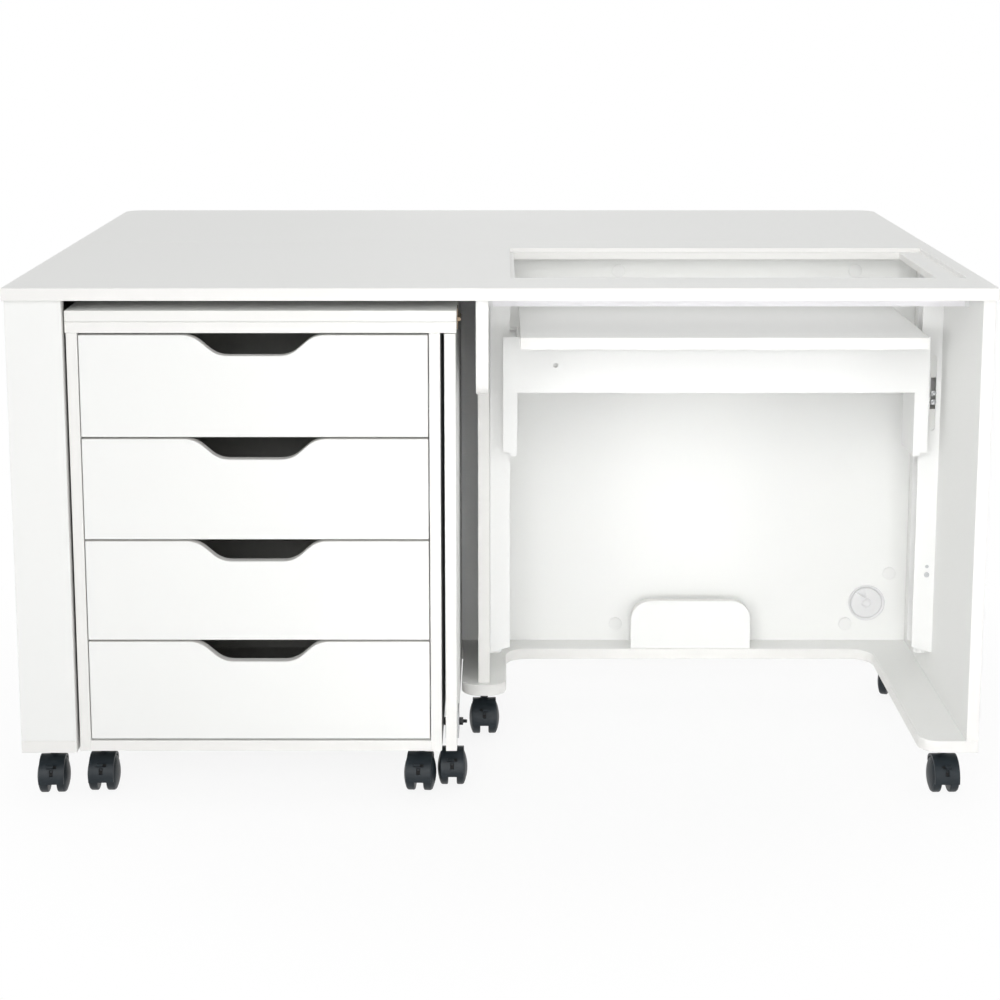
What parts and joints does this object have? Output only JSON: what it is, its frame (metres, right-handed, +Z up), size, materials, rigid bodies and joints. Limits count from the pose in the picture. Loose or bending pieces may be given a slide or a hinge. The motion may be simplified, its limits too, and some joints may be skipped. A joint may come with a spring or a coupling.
{
  "type": "folding sewing cutting table",
  "caption": "White board sewing and cutting table with a raised drop leaf, a machine opening with a lift, and a rolling drawer caddy parked under it.",
  "frame": {"origin": "on the floor below the middle of the open worktop, leaf raised", "axes": "+Z up, +X to the right of a person seated at the front, +Y from the front edge to the drop leaf"},
  "size_m": [1.41, 1.002, 0.766],
  "materials": {
    "white_laminate": "satin white melamine on board with glued edge banding",
    "drawer_laminate": "matt pale grey foil on thin drawer boards",
    "white_steel": "white powder coat on folded sheet steel and tube",
    "zinc_steel": "bright zinc plating on steel hardware",
    "white_rail": "white anodised extrusion with moulded end caps",
    "black_plastic": "fine-textured black nylon",
    "grey_plastic": "smooth pale grey moulding",
    "white_nylon": "natural nylon"
  },
  "bodies": {
    "table": {"fixed_top": "white_laminate", "front_rail": "white_rail", "left_fascia": "white_laminate", "left_side_panel": "white_laminate", "right_upright": "white_laminate", "back_panel": "white_laminate", "centre_upright": "white_laminate", "base_right": "white_laminate", "base_left": "white_laminate", "pedal_stop": "white_laminate", "grommet_ring": "grey_plastic", "cover_caps": "grey_plastic", "leaf_fittings": "zinc_steel", "lift_guides": "white_steel", "gas_cylinders": "white_steel"},
    "leaf": {"rear_leaf": "white_laminate", "leaf_hinge_flaps": "zinc_steel"},
    "swing_frame": {"leaf_swing_frame": "white_steel"},
    "lift": {"lift_platform": "white_laminate", "lift_carriage": "white_steel", "lift_sliders": "white_nylon", "gas_rods": "zinc_steel"},
    "cable_cap": {"grommet_cap": "grey_plastic"},
    "caddy": {"caddy_left_side": "white_laminate", "caddy_right_side": "white_laminate", "caddy_bottom": "white_laminate", "caddy_back": "white_laminate", "caddy_top": "white_laminate", "caddy_leaf": "white_laminate", "caddy_gate": "white_laminate", "caddy_fittings": "zinc_steel", "runner_rails": "zinc_steel"},
    "drawer_1": {"drawer_1_front": "white_laminate", "drawer_1_box": "drawer_laminate"},
    "drawer_2": {"drawer_2_front": "white_laminate", "drawer_2_box": "drawer_laminate"},
    "drawer_3": {"drawer_3_front": "white_laminate", "drawer_3_box": "drawer_laminate"},
    "drawer_4": {"drawer_4_front": "white_laminate", "drawer_4_box": "drawer_laminate"},
    "caster_left_front": {"caster_left_front_hood": "black_plastic"},
    "wheels_left_front": {"caster_left_front_wheels": "black_plastic"},
    "caster_left_rear": {"caster_left_rear_hood": "black_plastic"},
    "wheels_left_rear": {"caster_left_rear_wheels": "black_plastic"},
    "caster_centre": {"caster_centre_hood": "black_plastic"},
    "wheels_centre": {"caster_centre_wheels": "black_plastic"},
    "caster_right_front": {"caster_right_front_hood": "black_plastic"},
    "wheels_right_front": {"caster_right_front_wheels": "black_plastic"},
    "caster_right_rear": {"caster_right_rear_hood": "black_plastic"},
    "wheels_right_rear": {"caster_right_rear_wheels": "black_plastic"},
    "caster_caddy_front_left": {"caster_caddy_front_left_hood": "black_plastic"},
    "wheels_caddy_front_left": {"caster_caddy_front_left_wheels": "black_plastic"},
    "caster_caddy_front_right": {"caster_caddy_front_right_hood": "black_plastic"},
    "wheels_caddy_front_right": {"caster_caddy_front_right_wheels": "black_plastic"},
    "caster_caddy_rear_left": {"caster_caddy_rear_left_hood": "black_plastic"},
    "wheels_caddy_rear_left": {"caster_caddy_rear_left_wheels": "black_plastic"},
    "caster_caddy_rear_right": {"caster_caddy_rear_right_hood": "black_plastic"},
    "wheels_caddy_rear_right": {"caster_caddy_rear_right_wheels": "black_plastic"},
    "caster_gate": {"caster_gate_hood": "black_plastic"},
    "wheels_gate": {"caster_gate_wheels": "black_plastic"}
  },
  "joints": [
    {"name": "leaf_fold", "type": "hinge", "parent": "table", "child": "leaf", "pos_m": [0, 0.02, 0.7437], "axis": [-1, 0, 0], "range_deg": [0, 90]},
    {"name": "frame_swing", "type": "hinge", "parent": "table", "child": "swing_frame", "pos_m": [0, 0.006, 0.5287], "axis": [-1, 0, 0], "range_deg": [0, 135]},
    {"name": "lift_travel", "type": "slide", "parent": "table", "child": "lift", "axis": [0, 0, 1], "range_m": [-0.21, 0.091]},
    {"name": "cable_cap_turn", "type": "hinge", "parent": "table", "child": "cable_cap", "pos_m": [0.619, -0.026, 0.158], "axis": [0, 1, 0], "continuous": true},
    {"name": "caddy_roll", "type": "slide", "parent": "table", "child": "caddy", "axis": [0, -1, 0], "range_m": [0, 0.75]},
    {"name": "drawer_1_slide", "type": "slide", "parent": "caddy", "child": "drawer_1", "axis": [0, -1, 0], "range_m": [0, 0.3]},
    {"name": "drawer_2_slide", "type": "slide", "parent": "caddy", "child": "drawer_2", "axis": [0, -1, 0], "range_m": [0, 0.3]},
    {"name": "drawer_3_slide", "type": "slide", "parent": "caddy", "child": "drawer_3", "axis": [0, -1, 0], "range_m": [0, 0.3]},
    {"name": "drawer_4_slide", "type": "slide", "parent": "caddy", "child": "drawer_4", "axis": [0, -1, 0], "range_m": [0, 0.3]},
    {"name": "left_front_swivel", "type": "hinge", "parent": "table", "child": "caster_left_front", "pos_m": [-0.666, -0.443, 0.074], "axis": [0, 0, 1], "continuous": true},
    {"name": "left_front_wheel_spin", "type": "hinge", "parent": "caster_left_front", "child": "wheels_left_front", "pos_m": [-0.66537, -0.45498, 0.026], "axis": [0.9986, 0.0523, 0], "continuous": true},
    {"name": "left_rear_swivel", "type": "hinge", "parent": "table", "child": "caster_left_rear", "pos_m": [-0.666, -0.048, 0.074], "axis": [0, 0, 1], "continuous": true},
    {"name": "left_rear_wheel_spin", "type": "hinge", "parent": "caster_left_rear", "child": "wheels_left_rear", "pos_m": [-0.66433, -0.03612, 0.026], "axis": [-0.9903, 0.1392, 0], "continuous": true},
    {"name": "centre_swivel", "type": "hinge", "parent": "table", "child": "caster_centre", "pos_m": [-0.0255, -0.201, 0.074], "axis": [0, 0, 1], "continuous": true},
    {"name": "centre_wheel_spin", "type": "hinge", "parent": "caster_centre", "child": "wheels_centre", "pos_m": [-0.02529, -0.213, 0.026], "axis": [0.9998, 0.0175, 0], "continuous": true},
    {"name": "right_front_swivel", "type": "hinge", "parent": "table", "child": "caster_right_front", "pos_m": [0.661, -0.443, 0.074], "axis": [0, 0, 1], "continuous": true},
    {"name": "right_front_wheel_spin", "type": "hinge", "parent": "caster_right_front", "child": "wheels_right_front", "pos_m": [0.66121, -0.455, 0.026], "axis": [0.9998, 0.0175, 0], "continuous": true},
    {"name": "right_rear_swivel", "type": "hinge", "parent": "table", "child": "caster_right_rear", "pos_m": [0.661, -0.048, 0.074], "axis": [0, 0, 1], "continuous": true},
    {"name": "right_rear_wheel_spin", "type": "hinge", "parent": "caster_right_rear", "child": "wheels_right_rear", "pos_m": [0.6651, -0.03672, 0.026], "axis": [-0.9397, 0.342, 0], "continuous": true},
    {"name": "caddy_front_left_swivel", "type": "hinge", "parent": "caddy", "child": "caster_caddy_front_left", "pos_m": [-0.5925, -0.435, 0.074], "axis": [0, 0, 1], "continuous": true},
    {"name": "caddy_front_left_wheel_spin", "type": "hinge", "parent": "caster_caddy_front_left", "child": "wheels_caddy_front_left", "pos_m": [-0.59229, -0.447, 0.026], "axis": [0.9998, 0.0175, 0], "continuous": true},
    {"name": "caddy_front_right_swivel", "type": "hinge", "parent": "caddy", "child": "caster_caddy_front_right", "pos_m": [-0.1185, -0.435, 0.074], "axis": [0, 0, 1], "range_deg": [-176, 4]},
    {"name": "caddy_front_right_wheel_spin", "type": "hinge", "parent": "caster_caddy_front_right", "child": "wheels_caddy_front_right", "pos_m": [-0.11934, -0.44697, 0.026], "axis": [0.9976, -0.0698, 0], "continuous": true},
    {"name": "caddy_rear_left_swivel", "type": "hinge", "parent": "caddy", "child": "caster_caddy_rear_left", "pos_m": [-0.5925, -0.135, 0.074], "axis": [0, 0, 1], "continuous": true},
    {"name": "caddy_rear_left_wheel_spin", "type": "hinge", "parent": "caster_caddy_rear_left", "child": "wheels_caddy_rear_left", "pos_m": [-0.58939, -0.12341, 0.026], "axis": [-0.9659, 0.2588, 0], "continuous": true},
    {"name": "caddy_rear_right_swivel", "type": "hinge", "parent": "caddy", "child": "caster_caddy_rear_right", "pos_m": [-0.1185, -0.135, 0.074], "axis": [0, 0, 1], "continuous": true},
    {"name": "caddy_rear_right_wheel_spin", "type": "hinge", "parent": "caster_caddy_rear_right", "child": "wheels_caddy_rear_right", "pos_m": [-0.12058, -0.12318, 0.026], "axis": [-0.9848, -0.1736, 0], "continuous": true},
    {"name": "gate_swivel", "type": "hinge", "parent": "caddy", "child": "caster_gate", "pos_m": [-0.0715, -0.413, 0.074], "axis": [0, 0, 1], "range_deg": [0, 180]},
    {"name": "gate_wheel_spin", "type": "hinge", "parent": "caster_gate", "child": "wheels_gate", "pos_m": [-0.0715, -0.425, 0.026], "axis": [1, 0, 0], "continuous": true}
  ],
  "couplings": [
    {"joint": "frame_swing", "follows": "leaf_fold", "ratio": 1.5}
  ]
}
